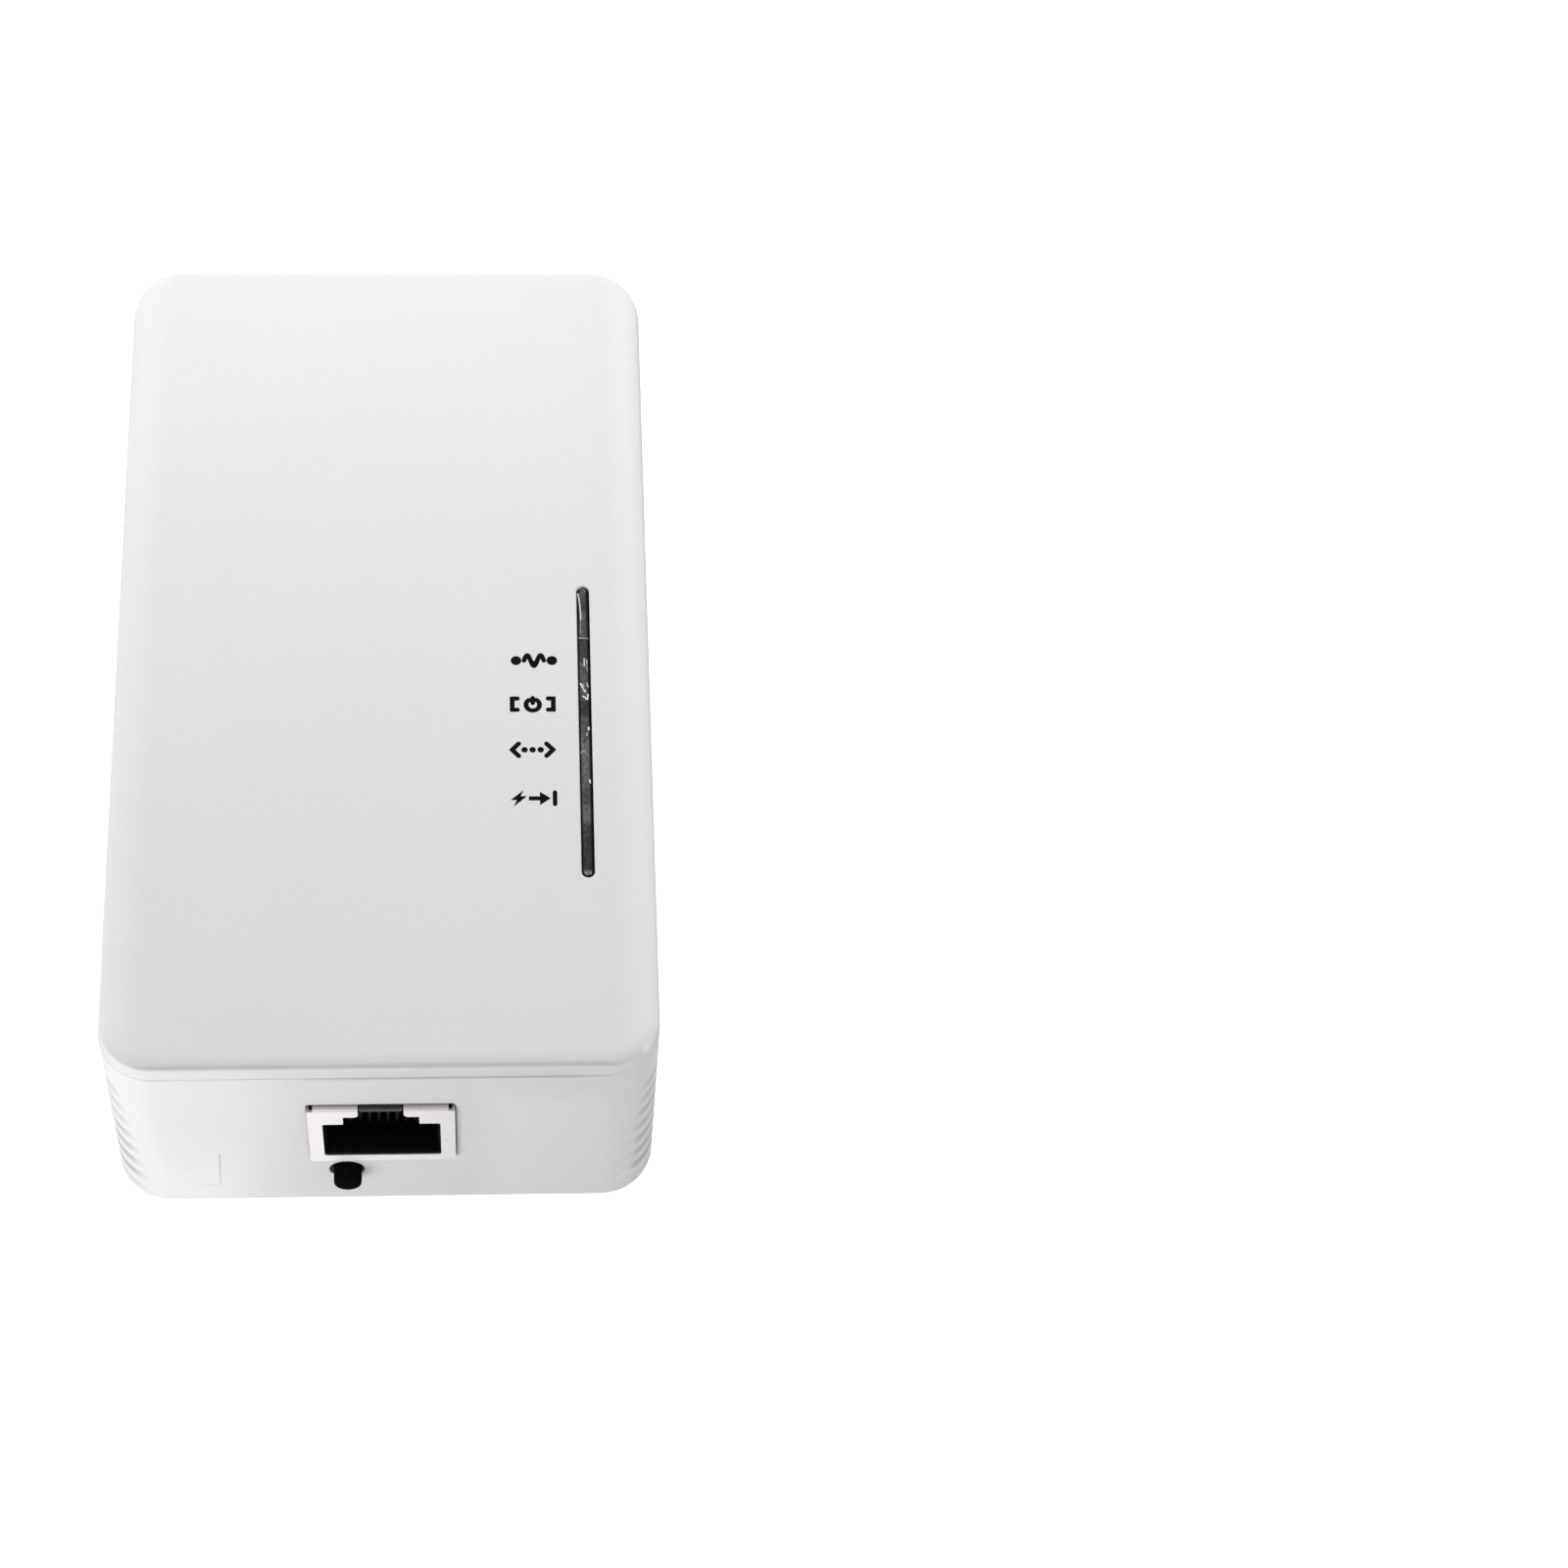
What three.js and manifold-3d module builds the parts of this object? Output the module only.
// A plug-in power-line Ethernet adapter with one powered Ethernet port, in millimetres.
// +Z is out of the labelled face, -Y is the end with the Ethernet jack, +X is to the right
// when the labelled face is read. The origin is the centre of the flat rear face, the face
// that lies against the wall.
import * as THREE from "three";
import { mergeVertices } from "three/addons/utils/BufferGeometryUtils.js";
import Module from "manifold-3d";

const wasm = await Module();
wasm.setup();

// ---------------------------------------------------------------- driving dimensions
// Case
const CASE_W = 60; // across, X
const CASE_L = 107; // along, Y
const CASE_H = 32; // rear face to labelled face, Z
const CORNER_R = 6; // upright corners
const TOP_EDGE_R = 0.8; // edge round the labelled face
const REAR_EDGE_R = 0.5; // edge round the rear face
const SEAM_Z = 30; // where the cover meets the housing
const WALL = 2.2;
const FLOOR = 2.2;
const SKIRT_GAP = 0.3;
const SKIRT_T = 1.2;
const SKIRT_DEPTH = 3;
const FRONT = -CASE_L / 2; // jack end

// Grip grooves on the two side walls, carried round the upright corners
const GROOVE_N = 8;
const GROOVE_Z0 = 1.8;
const GROOVE_PITCH = 3.1;
const GROOVE_H = 1.2;
const GROOVE_D = 0.5;
const GROOVE_END_X = 27.3;

// Screws, their posts in the housing and their bosses in the cover
const SCREW_X = 23.5;
const SCREW_Y = 47;
const POST_R = 3.9;
const POST_TOP = 14;
const BOSS_R = 3.4;
const BOSS_BOTTOM = 14.3;
const SCREW_HOLE_R = 1.75;
const SCREW_HOLE_TOP = 25;
const HEAD_SEAT_Z = 10;
const HEAD_BORE_R = 3.1;
const HEAD_H = 2.2;

// Light slot in the cover, and the LEDs under it
const SLOT_X = 22.57;
const SLOT_Y = -11.16;
const SLOT_L = 38.2;
const SLOT_W = 1.45;
const GUIDE_GAP = 0.05;
const LED_Y = [-2.1, -7.9, -13.9, -20.2];

// Rear label and its recess
const LABEL_W = 40;
const LABEL_L = 30;
const LABEL_R = 1.3;
const LABEL_Y = -24;
const LABEL_GAP = 0.2;
const RECESS_D = 0.3;
const LABEL_T = 0.15;

// Shielded RJ45 jack; X is measured from the jack's own centre line
const JACK_X = -0.1;
const JACK_W = 16;
const JACK_Z0 = 10.9;
const JACK_Z1 = 23.55;
const JACK_PROUD = 0.55;
const JACK_DEPTH = 18;
const JACK_FRONT = FRONT - JACK_PROUD;
const JACK_BACK = JACK_FRONT + JACK_DEPTH;
const JACK_GAP = 0.2; // round the jack in the housing window
const SHEET = 0.3;
const PORT_W = 12.78; // opening in the shield: body, shoulder step and latch keyway
const PORT_Z0 = 12.3;
const PORT_Z1 = 19.98;
const STEP_W = 8.24;
const STEP_Z1 = 21.65;
const KEY_W = 4.94;
const FLANGE_IN = 0.55;
const FLANGE_Y = 1.8;
const NOTCH_H = 0.45; // notches at the face's two top corners
const TAB_Y0 = -46; // board tabs
const TAB_Y1 = -44.5;
const TAB_GAP = 0.4;
const CONTACT_N = 8;
const CONTACT_PITCH = 1.02;
const CONTACT_T = 0.4;
const CONTACT_GAP = 0.11;

// Push-button
const BUTTON_X = -4.12;
const BUTTON_Z = 7.6;
const BUTTON_HOLE_X = -4.24;
const BUTTON_R = 1.48;
const BUTTON_HOLE_R = 1.9;
const BUTTON_PROUD = 2.05;

// Boards
const POWER_Z0 = 3.7;
const LOGIC_Z0 = 24.3;
const BOARD_T = 1.6;
const POWER_TOP = POWER_Z0 + BOARD_T;
const LOGIC_TOP = LOGIC_Z0 + BOARD_T;
const PART_GAP = 0.05; // between a board and the parts on it

// Pin header that joins the boards
const HEADER_X = -18;
const HEADER_Y = -6;
const HEADER_PINS = 8;
const HEADER_PITCH = 2.54;

// Mains plug, three-pin: two flat blades and a round earth pin
const BLADE_Y = 22;
const BLADE_GAP = 12.7; // centre to centre
const BLADE_X = BLADE_GAP / 2;
const BLADE_W = 6.35;
const BLADE_T = 1.5;
const BLADE_TIP = -17.5;
const EARTH_Y = BLADE_Y - 11.9;
const EARTH_R = 2.4;
const EARTH_TIP = -20.6;
const SHOULDER_Z = 3.2; // where the blades and pin narrow to their tails
const TAIL_Z = 6.4;
const BASE_W = 26;
const BASE_L = 24;
const BASE_R = 4;
const BASE_Y = 16;
const BASE_TOP = 3.3;
const BASE_GAP = 0.15; // round the base in the housing window

// ---------------------------------------------------------------- finishes
// Metalness is 0 where it isn't given.
const WHITE = { color: 0xe9eae9, roughness: 0.42 };
const SMOKE = { color: 0x4a4c50, roughness: 0.2 };
const STEEL = { color: 0xe4dde2, roughness: 0.28, metalness: 0.9 };
const NICKEL = { color: 0xb9b9b5, roughness: 0.3, metalness: 1 };
const BRASS = { color: 0xc9a55a, roughness: 0.3, metalness: 1 };
const GOLD = { color: 0xd8b45a, roughness: 0.25, metalness: 1 };
const BLACK = { color: 0x0b0b0c, roughness: 0.45 };
const GREY = { color: 0xd5d6d6, roughness: 0.5 };
const LABEL = { color: 0xf3f3f1, roughness: 0.6 };
const BOARD = { color: 0x1d5a34, roughness: 0.4 };
const CHIP = { color: 0x1a1a1c, roughness: 0.5 };
const SINK = { color: 0xa8abae, roughness: 0.4, metalness: 1 };
const FERRITE = { color: 0x2b2b2d, roughness: 0.7 };
const TAPE = { color: 0xd9b22c, roughness: 0.45 };
const COPPER = { color: 0xb5652c, roughness: 0.3, metalness: 1 };
const FILM_CAP = { color: 0xd8c23a, roughness: 0.45 };
const VARISTOR = { color: 0x1f56a8, roughness: 0.45 };
const SLEEVE = { color: 0x1c2d4e, roughness: 0.35 };
const FISH_PAPER = { color: 0xd8d3c4, roughness: 0.7 };
const LED_BODY = { color: 0xf2ecd8, roughness: 0.35 };

// ---------------------------------------------------------------- helpers
// A manifold from a three.js geometry: welded, with collapsed triangles left out.
function solid(geometry) {
  const bare = new THREE.BufferGeometry();
  bare.setAttribute("position", geometry.getAttribute("position"));
  bare.setIndex(geometry.index);
  const welded = mergeVertices(bare, 1e-4);
  const triangles = [];
  for (let i = 0; i < welded.index.count; i += 3) {
    const [a, b, c] = [0, 1, 2].map((k) => welded.index.getX(i + k));
    if (a !== b && b !== c && a !== c) triangles.push(a, b, c);
  }
  return new wasm.Manifold(
    new wasm.Mesh({
      numProp: 3,
      vertProperties: new Float32Array(welded.attributes.position.array),
      triVerts: new Uint32Array(triangles),
    }),
  );
}

const join = (first, ...rest) => rest.reduce((a, b) => a.add(b), first);
const cut = (first, ...tools) => tools.reduce((a, b) => a.subtract(b), first);

// Positions of count items at an even pitch, centred on 0.
const row = (count, pitch) =>
  Array.from({ length: count }, (_, i) => (i - (count - 1) / 2) * pitch);

function box(x0, x1, y0, y1, z0, z1) {
  const g = new THREE.BoxGeometry(x1 - x0, y1 - y0, z1 - z0);
  return solid(g.translate((x0 + x1) / 2, (y0 + y1) / 2, (z0 + z1) / 2));
}

// A box centred on X = 0.
const midBox = (width, ...yzRanges) => box(-width / 2, width / 2, ...yzRanges);

// A box centred on (x, y).
const slab = (width, length, z0, z1, x = 0, y = 0) =>
  box(x - width / 2, x + width / 2, y - length / 2, y + length / 2, z0, z1);

// A box and its mirror image across X = 0; the one on the +X side comes first.
const boxPair = (x0, x1, ...yzRanges) => [box(x0, x1, ...yzRanges), box(-x1, -x0, ...yzRanges)];

function rodZ(radius, z0, z1, x = 0, y = 0, segments = 20) {
  const g = new THREE.CylinderGeometry(radius, radius, z1 - z0, segments);
  return solid(g.rotateX(Math.PI / 2).translate(x, y, (z0 + z1) / 2));
}

function rodY(radius, y0, y1, x = 0, z = 0, segments = 20) {
  const g = new THREE.CylinderGeometry(radius, radius, y1 - y0, segments);
  return solid(g.translate(x, (y0 + y1) / 2, z));
}

function roundedRect(width, length, radius, cx, cy) {
  const shape = new THREE.Shape();
  const [x, y] = [width / 2 - radius, length / 2 - radius];
  shape.absarc(cx + x, cy - y, radius, -Math.PI / 2, 0);
  shape.absarc(cx + x, cy + y, radius, 0, Math.PI / 2);
  shape.absarc(cx - x, cy + y, radius, Math.PI / 2, Math.PI);
  shape.absarc(cx - x, cy - y, radius, Math.PI, 1.5 * Math.PI);
  shape.closePath();
  return shape;
}

// A plate with rounded corners between two heights; edge rounds both its rims.
function plate(width, length, radius, z0, z1, { x = 0, y = 0, seg = 6, edge = 0 } = {}) {
  const g = new THREE.ExtrudeGeometry(roundedRect(width, length, radius, x, y), {
    depth: z1 - z0 - 2 * edge,
    curveSegments: seg,
    bevelEnabled: edge > 0,
    bevelThickness: edge,
    bevelSize: edge,
    bevelOffset: -edge,
    bevelSegments: 3,
  });
  return solid(g.translate(0, 0, z0 + edge));
}

// A plate with the case's outline moved in by inset.
const casePlate = (inset, z0, z1, options) =>
  plate(CASE_W - 2 * inset, CASE_L - 2 * inset, CORNER_R - inset, z0, z1, options);

// A profile of [y, z] points with a thickness along X, centred on X = 0.
function sideProfile(points, thickness, hole) {
  const shape = new THREE.Shape(points.map(([y, z]) => new THREE.Vector2(y, z)));
  if (hole) shape.holes.push(new THREE.Path().absarc(hole.y, hole.z, hole.radius, 0, 2 * Math.PI));
  const g = new THREE.ExtrudeGeometry(shape, {
    depth: thickness,
    bevelEnabled: false,
    curveSegments: 8,
  });
  g.applyMatrix4(
    new THREE.Matrix4().makeBasis(
      new THREE.Vector3(0, 1, 0),
      new THREE.Vector3(0, 0, 1),
      new THREE.Vector3(1, 0, 0),
    ),
  );
  return solid(g.translate(-thickness / 2, 0, 0));
}

// A turned piece round Z: [radius, height] points, from the axis at the bottom, up the
// outside and back to the axis.
function turned(points, segments = 20) {
  const g = new THREE.LatheGeometry(
    points.map(([radius, height]) => new THREE.Vector2(radius, height)),
    segments,
  );
  return solid(g.rotateX(Math.PI / 2)); // the lathe's own axis is Y
}

const adapter = new THREE.Group();
const jack = new THREE.Group();
jack.position.set(JACK_X, 0, 0);
const mainsPlug = new THREE.Group();
const button = new THREE.Group();
button.position.set(BUTTON_X, 0, BUTTON_Z);
adapter.add(jack, mainsPlug, button);

function piece(name, manifold, finish, { parent = adapter, at = [0, 0, 0] } = {}) {
  const { vertProperties, triVerts } = manifold.getMesh();
  const g = new THREE.BufferGeometry();
  g.setAttribute("position", new THREE.BufferAttribute(new Float32Array(vertProperties), 3));
  g.setIndex(new THREE.BufferAttribute(new Uint32Array(triVerts), 1));
  g.computeVertexNormals();
  const mesh = new THREE.Mesh(g, new THREE.MeshStandardMaterial(finish));
  mesh.name = name;
  mesh.position.set(...at);
  parent.add(mesh);
}

const corners = [
  [-SCREW_X, -SCREW_Y],
  [SCREW_X, -SCREW_Y],
  [SCREW_X, SCREW_Y],
  [-SCREW_X, SCREW_Y],
];

// One rod along Z at each [x, y] place.
const rodsAt = (places, radius, z0, z1, segments) =>
  places.map(([x, y]) => rodZ(radius, z0, z1, x, y, segments));

// ---------------------------------------------------------------- case
// The whole block with its two rim radii, parted at the seam by the two halves. Each
// plate's other rim lies beyond the block.
const block = casePlate(0, -20, CASE_H, { edge: TOP_EDGE_R }).intersect(
  casePlate(0, 0, CASE_H + 20, { edge: REAR_EDGE_R }),
);
const caseSlice = (z0, z1) => block.intersect(slab(80, 120, z0, z1));

// Two side grooves with their corner turns: a ring with its middle stretch removed.
function gripGroove(z) {
  return cut(
    casePlate(-2, z - GROOVE_H / 2, z + GROOVE_H / 2),
    casePlate(GROOVE_D, z - GROOVE_H, z + GROOVE_H),
    slab(2 * GROOVE_END_X, 120, z - 2, z + 2),
  );
}

// A tub open towards the cover, with screw posts and pads the power board sits on.
function rearHousing() {
  const pads = [
    [-21, -25],
    [21, -25],
    [-21, 20],
    [21, 20],
    [0, 38],
  ];
  const jackHalf = JACK_W / 2 + JACK_GAP;
  const [wallY0, wallY1] = [FRONT - 1, FRONT + WALL + 1];
  let tub = cut(caseSlice(-1, SEAM_Z), casePlate(WALL, FLOOR, 40, { seg: 4 }));
  for (let k = 0; k < GROOVE_N; k++) tub = cut(tub, gripGroove(GROOVE_Z0 + k * GROOVE_PITCH));
  tub = join(
    tub,
    ...rodsAt(corners, POST_R, 1, POST_TOP),
    ...rodsAt(pads, 2, 1, POWER_Z0 - 0.05, 12),
  );
  return cut(
    tub,
    ...rodsAt(corners, SCREW_HOLE_R, -1, POST_TOP + 1, 16),
    ...rodsAt(corners, HEAD_BORE_R, -1, HEAD_SEAT_Z),
    // Jack window
    box(
      JACK_X - jackHalf,
      JACK_X + jackHalf,
      wallY0,
      wallY1,
      JACK_Z0 - JACK_GAP,
      JACK_Z1 + JACK_GAP,
    ),
    rodY(BUTTON_HOLE_R, wallY0, wallY1, BUTTON_HOLE_X, BUTTON_Z, 24),
    // Plug base window
    plate(BASE_W + 2 * BASE_GAP, BASE_L + 2 * BASE_GAP, BASE_R + BASE_GAP, -1, FLOOR + 1, {
      y: BASE_Y,
      seg: 4,
    }),
    // Label recess
    plate(LABEL_W + 2 * LABEL_GAP, LABEL_L + 2 * LABEL_GAP, LABEL_R + LABEL_GAP, -1, RECESS_D, {
      y: LABEL_Y,
      seg: 3,
    }),
  );
}

// A bar with rounded ends at the light slot, smaller than the slot by gap all round.
const slotBar = (gap, z0, z1) => {
  const width = SLOT_W - 2 * gap;
  const options = { x: SLOT_X, y: SLOT_Y, seg: 5 };
  return plate(width, SLOT_L - 2 * gap, width / 2 - 0.001, z0, z1, options);
};

// The labelled plate, a locating skirt, four screw bosses and four pads that hold the
// logic board down.
function frontCover() {
  const pads = [
    [-22, -34],
    [17, -34],
    [-22, 16],
    [16, 18],
  ];
  const rootZ = SEAM_Z + 0.5; // skirt, bosses and pads run this far into the plate
  const skirt = cut(
    casePlate(WALL + SKIRT_GAP, SEAM_Z - SKIRT_DEPTH, rootZ, { seg: 4 }),
    casePlate(WALL + SKIRT_GAP + SKIRT_T, 0, SEAM_Z, { seg: 4 }),
  );
  const lid = join(
    caseSlice(SEAM_Z, 40),
    skirt,
    ...rodsAt(corners, BOSS_R, BOSS_BOTTOM, rootZ),
    ...rodsAt(pads, 1.5, LOGIC_TOP + 0.08, rootZ, 12),
  );
  return cut(lid, ...rodsAt(corners, SCREW_HOLE_R, 10, SCREW_HOLE_TOP, 16), slotBar(0, 20, 40));
}

// A bar that fills the slot, a retaining flange under the cover and a leg over each LED.
function lightGuide() {
  const legTop = 29;
  return join(
    slotBar(GUIDE_GAP, legTop, CASE_H - 0.12),
    slab(3, 40.4, 28.9, SEAM_Z - 0.05, SLOT_X, SLOT_Y),
    ...LED_Y.map((y) => slab(1.8, 2.2, 26.9, legTop, SLOT_X, y)),
  );
}

// A cross-recessed screw, its head at the bottom.
function caseScrew() {
  const [headR, shankR] = [2.6, 1.4];
  const recess = { width: 0.7, length: 3.2, depth: 1.2 };
  return cut(
    turned(
      [
        [0, 0],
        [2.2, 0],
        [headR, 0.5],
        [headR, HEAD_H],
        [shankR, HEAD_H],
        [shankR, 13],
        [0, 14.7],
      ],
      16,
    ),
    slab(recess.width, recess.length, -1, recess.depth),
    slab(recess.length, recess.width, -1, recess.depth),
  );
}

piece("rear_housing", rearHousing(), WHITE);
piece("front_cover", frontCover(), WHITE);
piece("light_guide", lightGuide(), SMOKE);
piece(
  "rear_label",
  plate(LABEL_W, LABEL_L, LABEL_R, RECESS_D - LABEL_T, RECESS_D, { y: LABEL_Y, seg: 3 }),
  LABEL,
);
corners.forEach(([x, y], i) => {
  piece(`case_screw_${i + 1}`, caseScrew(), NICKEL, { at: [x, y, HEAD_SEAT_Z - HEAD_H] });
});

// ---------------------------------------------------------------- mains plug
// A flat blade with a hole near its tip, clipped tip corners and a narrow tail.
function blade() {
  const half = BLADE_W / 2;
  const clip = 1.2;
  const tailHalf = 1.5;
  return sideProfile(
    [
      [-half, BLADE_TIP + clip],
      [-half + clip, BLADE_TIP],
      [half - clip, BLADE_TIP],
      [half, BLADE_TIP + clip],
      [half, SHOULDER_Z],
      [tailHalf, SHOULDER_Z],
      [tailHalf, TAIL_Z],
      [-tailHalf, TAIL_Z],
      [-tailHalf, SHOULDER_Z],
      [-half, SHOULDER_Z],
    ],
    BLADE_T,
    { y: 0, z: -11.9, radius: 1.6 },
  );
}

function groundPin() {
  const tailR = 1.2;
  return turned([
    [0, EARTH_TIP],
    [1.2, EARTH_TIP + 0.3],
    [2, EARTH_TIP + 1.1],
    [EARTH_R, EARTH_TIP + 2.4],
    [EARTH_R, SHOULDER_Z],
    [tailR, SHOULDER_Z],
    [tailR, TAIL_Z],
    [0, TAIL_Z],
  ]);
}

// The insert in the rear window, with a flange inside the floor.
function plugBase() {
  const flange = 1.5; // beyond the insert on each side
  const slotX = BLADE_T / 2 + 0.05;
  const slotY = BLADE_W / 2 + 0.055;
  const options = { y: BASE_Y, seg: 4 };
  return cut(
    join(
      plate(BASE_W, BASE_L, BASE_R, 0, BASE_TOP, options),
      plate(BASE_W + 2 * flange, BASE_L + 2 * flange, BASE_R, FLOOR + 0.1, BASE_TOP, options),
    ),
    ...boxPair(BLADE_X - slotX, BLADE_X + slotX, BLADE_Y - slotY, BLADE_Y + slotY, -1, 4),
    rodZ(EARTH_R + 0.06, -1, 4, 0, EARTH_Y),
  );
}

piece("line_blade", blade(), BRASS, { parent: mainsPlug, at: [BLADE_X, BLADE_Y, 0] });
piece("neutral_blade", blade(), BRASS, { parent: mainsPlug, at: [-BLADE_X, BLADE_Y, 0] });
piece("ground_pin", groundPin(), BRASS, { parent: mainsPlug, at: [0, EARTH_Y, 0] });
piece("plug_base", plugBase(), GREY, { parent: mainsPlug });

// ---------------------------------------------------------------- RJ45 jack
function jackShield() {
  const half = JACK_W / 2;
  const notchZ = JACK_Z1 - NOTCH_H;
  const through = [JACK_FRONT - 1, JACK_FRONT + 1];
  const face = cut(
    midBox(JACK_W, JACK_FRONT, JACK_FRONT + SHEET, JACK_Z0, JACK_Z1),
    midBox(PORT_W, ...through, PORT_Z0, PORT_Z1),
    midBox(STEP_W, ...through, PORT_Z0, STEP_Z1),
    midBox(KEY_W, ...through, PORT_Z0, JACK_Z1 + 1),
    ...boxPair(half - FLANGE_IN, half + 1, ...through, notchZ, JACK_Z1 + 1),
  );
  const flangeBack = JACK_FRONT + FLANGE_Y;
  return join(
    face,
    // Folded top flanges, one each side of the keyway
    ...boxPair(KEY_W / 2, half - FLANGE_IN, JACK_FRONT, flangeBack, JACK_Z1 - SHEET, JACK_Z1),
    // Side walls, their notched front ends, and the tabs up through the logic board
    ...boxPair(half - SHEET, half, JACK_FRONT + 0.5, JACK_BACK, JACK_Z0, JACK_Z1),
    ...boxPair(half - SHEET, half, JACK_FRONT, JACK_FRONT + 1, JACK_Z0, notchZ),
    ...boxPair(half - SHEET, half, TAB_Y0, TAB_Y1, JACK_Z1 - 1, LOGIC_TOP + 1),
    // Bottom and back
    midBox(JACK_W, JACK_FRONT, JACK_BACK, JACK_Z0, JACK_Z0 + SHEET),
    midBox(JACK_W, JACK_BACK - SHEET, JACK_BACK, JACK_Z0, JACK_Z1),
  );
}

// A block whose rear part rests against the board, with a nose that fills the notch above
// the keyway, a stepped cavity and a slot for each contact.
function jackInsulator() {
  const width = 15;
  const back = JACK_BACK - SHEET - 0.4;
  const inset = SHEET + 0.06; // from the shield's outside, above and below
  const keyW = 4.7;
  const cavityBack = -40.5;
  const slotW = CONTACT_T + 2 * CONTACT_GAP;
  return cut(
    join(
      midBox(width, JACK_FRONT + SHEET + 0.1, back, JACK_Z0 + inset, JACK_Z1 - inset),
      midBox(width, JACK_FRONT + 3.2, back, 20, LOGIC_Z0 - 0.05),
      midBox(keyW, JACK_FRONT + 0.12, JACK_FRONT + 1, 22.75, JACK_Z1 - 0.1),
    ),
    midBox(12.1, -60, cavityBack, 12.5, 19.8),
    midBox(7.9, -60, cavityBack, 19, 21.45),
    midBox(keyW, -60, -44, 21, 22.7),
    ...row(CONTACT_N, CONTACT_PITCH).map((x) =>
      box(x - slotW / 2, x + slotW / 2, -51.5, -41.2, 11.5, 13),
    ),
  );
}

// One spring contact: a knee at the mouth of the jack and a beam that slopes up and back.
function jackContact() {
  return sideProfile(
    [
      [-51.25, 11.62],
      [-50.9, 11.62],
      [-50.72, 12],
      [-42, 13.55],
      [-41.9, 13.9],
      [-50.95, 12.32],
      [-51.25, 12],
    ],
    CONTACT_T,
  );
}

piece("jack_shield", jackShield(), STEEL, { parent: jack });
row(CONTACT_N, CONTACT_PITCH).forEach((x, i) => {
  piece(`jack_contact_${i + 1}`, jackContact(), GOLD, { parent: jack, at: [x, 0, 0] });
});
piece("jack_insulator", jackInsulator(), BLACK, { parent: jack });

// ---------------------------------------------------------------- push-button switch
// X and Z are measured from the button's axis.
const SWITCH_Z0 = -2.25;
const SWITCH_Z1 = 2.5;

// Lays a turned piece along Y: its bottom faces -Y, at y.
const alongY = (manifold, y) => manifold.rotate(-90, 0, 0).translate(0, y, 0);

function pushButton() {
  const [collarR, collarY] = [1.75, 6.55];
  const profile = [
    [0, 0],
    [1, 0.04],
    [1.3, 0.18],
    [1.44, 0.5],
    [BUTTON_R, 0.95],
    [BUTTON_R, collarY],
    [collarR, collarY],
    [collarR, 7.15],
    [0, 7.15],
  ];
  return alongY(turned(profile), FRONT - BUTTON_PROUD);
}

const switchBody = () =>
  cut(midBox(6, -49, -45.4, SWITCH_Z0, SWITCH_Z1), rodY(1.9, -50, -47.2));

// A front sheet with a hole for the button, and an arm down each side of the body.
function switchBracket() {
  const half = 3.4;
  const front = -49.35;
  return cut(
    join(
      midBox(2 * half, front, front + SHEET, SWITCH_Z0, SWITCH_Z1),
      ...boxPair(half - SHEET, half, front, -46, SWITCH_Z0, 1.4),
    ),
    rodY(1.62, -50, -48),
  );
}

function switchDome() {
  const profile = [
    [0, 0],
    [0.9, 0.12],
    [1.75, 0.6],
    [1.75, 0.75],
    [0.9, 0.3],
    [0, 0.17],
  ];
  return alongY(turned(profile), -48);
}

piece("push_button", pushButton(), BLACK, { parent: button });
piece("switch_body", switchBody(), BLACK, { parent: button });
piece("switch_bracket", switchBracket(), STEEL, { parent: button });
piece("switch_dome", switchDome(), STEEL, { parent: button });

// ---------------------------------------------------------------- boards
// Clears the screw posts and the tails of the mains plug.
function powerBoard() {
  const [slotX, slotY] = [1.2, 1.9]; // half sizes of a blade tail slot
  return cut(
    plate(52.4, 101.2, 2, POWER_Z0, POWER_TOP, { seg: 2 }),
    ...rodsAt(corners, POST_R + 0.4, 0, 10),
    ...boxPair(BLADE_X - slotX, BLADE_X + slotX, BLADE_Y - slotY, BLADE_Y + slotY, 0, 10),
    rodZ(1.7, 0, 10, 0, EARTH_Y, 12),
  );
}

// Clears the cover bosses at its -Y corners, the jack's tabs and the header pins.
function logicBoard() {
  const through = [20, 30];
  const tabOut = JACK_W / 2 + TAB_GAP;
  const tabIn = JACK_W / 2 - SHEET - TAB_GAP;
  const pinHole = 1.1;
  return cut(
    midBox(52, -50.7, 22, LOGIC_Z0, LOGIC_TOP),
    ...rodsAt(corners.slice(0, 2), BOSS_R + 0.5, ...through),
    ...boxPair(SCREW_X, CASE_W / 2, -60, -SCREW_Y, ...through),
    ...boxPair(tabIn, tabOut, TAB_Y0 - TAB_GAP, TAB_Y1 + TAB_GAP, ...through).map((slot) =>
      slot.translate(JACK_X, 0, 0),
    ),
    ...row(HEADER_PINS, HEADER_PITCH).map((y) =>
      slab(pinHole, pinHole, ...through, HEADER_X, HEADER_Y + y),
    ),
  );
}

const boardHeader = () =>
  join(
    slab(2.5, 20.3, 0, 2.5),
    ...row(HEADER_PINS, HEADER_PITCH).map((y) => slab(0.64, 0.64, 1, 21.8, 0, y)),
  );

// Places a part on the power board.
const onPower = (name, manifold, finish, x, y) =>
  piece(name, manifold, finish, { at: [x, y, POWER_TOP + PART_GAP] });

// Places a part on the logic board's +Z face, lift above it.
const onLogic = (name, manifold, finish, x, y, lift = PART_GAP) =>
  piece(name, manifold, finish, { at: [x, y, LOGIC_TOP + lift] });

piece("power_board", powerBoard(), BOARD);
piece("logic_board", logicBoard(), BOARD);
onPower("board_header", boardHeader(), BLACK, HEADER_X, HEADER_Y);
piece("insulation_sheet", box(-14, 25, -14, 21, LOGIC_Z0 - 0.3, LOGIC_Z0 - 0.03), FISH_PAPER);

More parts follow.
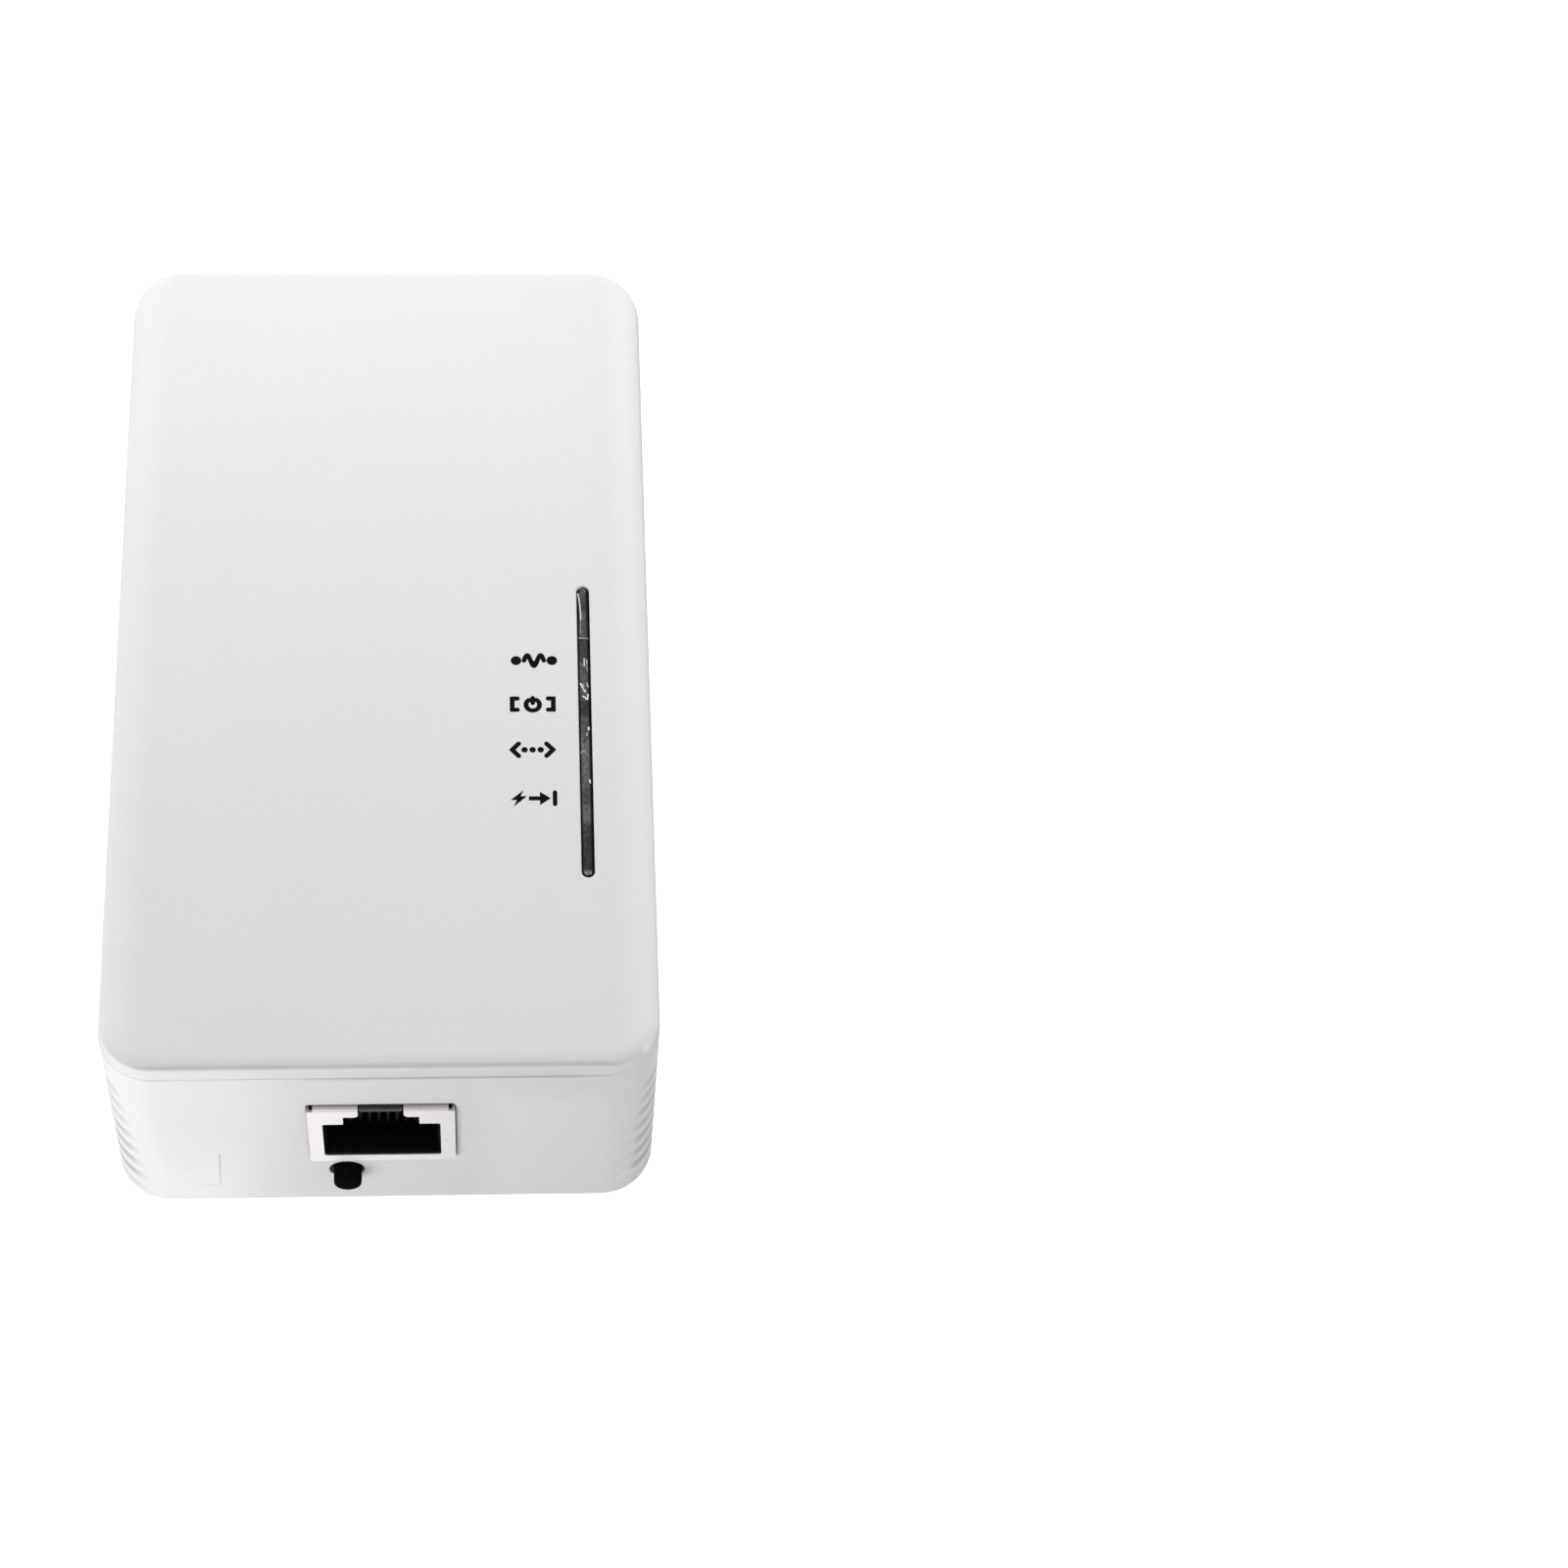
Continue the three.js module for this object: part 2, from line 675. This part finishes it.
// ---------------------------------------------------------------- logic board parts
const led = () => join(slab(0.8, 1.6, 0, 0.3), slab(0.8, 1, 0.2, 0.6));

const plcHeatsink = () =>
  join(slab(14, 14, 0, 0.9), ...row(6, 2.56).map((x) => slab(1, 14, 0.5, 2.6, x)));

["link", "power", "ethernet", "poe"].forEach((use, i) => {
  onLogic(`led_${use}`, led(), LED_BODY, SLOT_X, LED_Y[i], 0.03);
});
onLogic("plc_chip", plate(13, 13, 0.4, 0, 1, { seg: 1 }), CHIP, 2, 4);
onLogic("plc_heatsink", plcHeatsink(), SINK, 2, 4, 1.1);
onLogic("memory_chip", slab(8, 12, 0, 1), CHIP, -7, -16);
onLogic("crystal", plate(5, 3.2, 0.5, 0, 1, { seg: 2 }), NICKEL, 8, -12);
// These two hang under the board.
piece("ethernet_magnetics", slab(12.8, 9.6, 0, 6), CHIP, { at: [0, -27, 18.2] });
piece("poe_controller", slab(6, 6, 0, 1), CHIP, { at: [14, -40, 23.2] });

// ---------------------------------------------------------------- power board parts
// A block with a recess in each Y end.
const couplingTransformer = () =>
  cut(slab(12, 10, 0, 9), slab(6.4, 2, 2, 7, 0, -5), slab(6.4, 2, 2, 7, 0, 5));

const filmCapacitor = (width, length, height) =>
  plate(width, length, 0.6, 0, height, { seg: 2, edge: 0.4 });

const inputFuse = () =>
  turned([
    [0, 0],
    [4.1, 0],
    [4.1, 7],
    [3.6, 7.6],
    [0, 7.6],
  ]);

// An upright disc on two leads.
const surgeVaristor = () =>
  join(rodY(5, -2, 2, 0, 7), ...boxPair(2.1, 2.9, -0.4, 0.4, 0, 4));

// The choke's toroid, grown on every face.
function chokeRing(grow) {
  const [z0, z1] = [1.9 - grow, 6.7 + grow];
  return cut(
    rodZ(6 + grow, z0, z1, 0, 0, 24),
    rodZ(3.4 - grow, z0 - 1, z1 + 1, 0, 0, 24),
  );
}

// Two half sleeves round the toroid, the one on the +X side first.
function chokeWindings() {
  const [gap, thickness] = [0.2, 0.9];
  const sleeve = cut(chokeRing(gap + thickness), chokeRing(gap));
  return boxPair(1.4, 8, -8, 8, 0, 9).map((side) => sleeve.intersect(side));
}

// A flat upright body on four leads.
const bridgeRectifier = () =>
  join(slab(15, 3.5, 2.5, 13), ...row(4, 3.8).map((x) => slab(1, 0.8, 0, 4, x)));

// An electrolytic capacitor's can, with a groove near its foot and a rim round its top.
const can = (radius, height) =>
  turned([
    [0, 0],
    [radius - 0.3, 0],
    [radius, 0.5],
    [radius, 1.6],
    [radius - 0.35, 2.1],
    [radius, 2.6],
    [radius, height - 0.5],
    [radius - 0.5, height],
    [radius - 1.2, height - 0.2],
    [0, height - 0.2],
  ]);

// Flyback transformer: a bobbin with its taped winding, and an E-E core round it.
const transformerBobbin = () =>
  cut(
    join(slab(12.6, 17.2, 0, 2.4), slab(12.6, 12.4, 2, 14), slab(12.6, 17.2, 13.2, 15)),
    slab(20, 5.2, 5.4, 10.6),
  );

const transformerCore = () =>
  join(slab(19.2, 4.6, 5.7, 10.3), ...boxPair(6.6, 9.6, -2.3, 2.3, 0.6, 15.4));

// An upright plate with five fins on its +X side.
function transistorHeatsink() {
  const height = 16.5;
  const fins = row(5, 4.7).map((y) => slab(2.9, 1, 0, height, 1.95, y + 0.1));
  return join(slab(1.8, 20, 0, height), ...fins);
}

// A body on three leads, with a thinner tab above it.
const powerTransistor = () =>
  join(
    slab(4.6, 10, 3.4, 12.4),
    box(1, 2.3, -5, 5, 12, 16.2),
    ...row(3, 2.54).map((y) => slab(0.6, 0.8, 0, 4, 0, y)),
  );

// A barrel along Y with its leads bent down to the board.
const outputDiode = () =>
  join(
    rodY(2.6, -4.7, 4.7, 0, 2.9, 16),
    slab(1, 14, 2.4, 3.4),
    slab(1, 1, 0, 3.4, 0, -6.5),
    slab(1, 1, 0, 3.4, 0, 6.5),
  );

onPower("coupling_transformer", couplingTransformer(), FERRITE, -17, 15);
onPower("coupling_capacitor", filmCapacitor(13, 6, 12), FILM_CAP, 15, 13);
onPower("x_capacitor", filmCapacitor(18, 8.4, 14.5), FILM_CAP, 1, 45);
onPower("input_fuse", inputFuse(), CHIP, 16.5, 41);
onPower("surge_varistor", surgeVaristor(), VARISTOR, -14, 43.5);
onPower("choke_core", chokeRing(0), FERRITE, -15, 31);
chokeWindings().forEach((winding, i) => {
  onPower(`choke_winding_${i + 1}`, winding, COPPER, -15, 31);
});
onPower("bridge_rectifier", bridgeRectifier(), CHIP, 0.8, 34.5);
onPower("bulk_capacitor", can(6.2, 20.5), SLEEVE, 16.2, 30);
onPower("output_capacitor_1", can(4, 15), SLEEVE, -17, -27);
onPower("output_capacitor_2", can(4, 15), SLEEVE, -17, -37);
onPower("transformer_bobbin", transformerBobbin(), TAPE, 0, -10);
onPower("transformer_core", transformerCore(), FERRITE, 0, -10);
onPower("transistor_heatsink", transistorHeatsink(), SINK, 20.6, -6);
onPower("power_transistor", powerTransistor(), CHIP, 17.3, -6);
onPower("output_diode", outputDiode(), CHIP, 16, -29);

export default adapter;
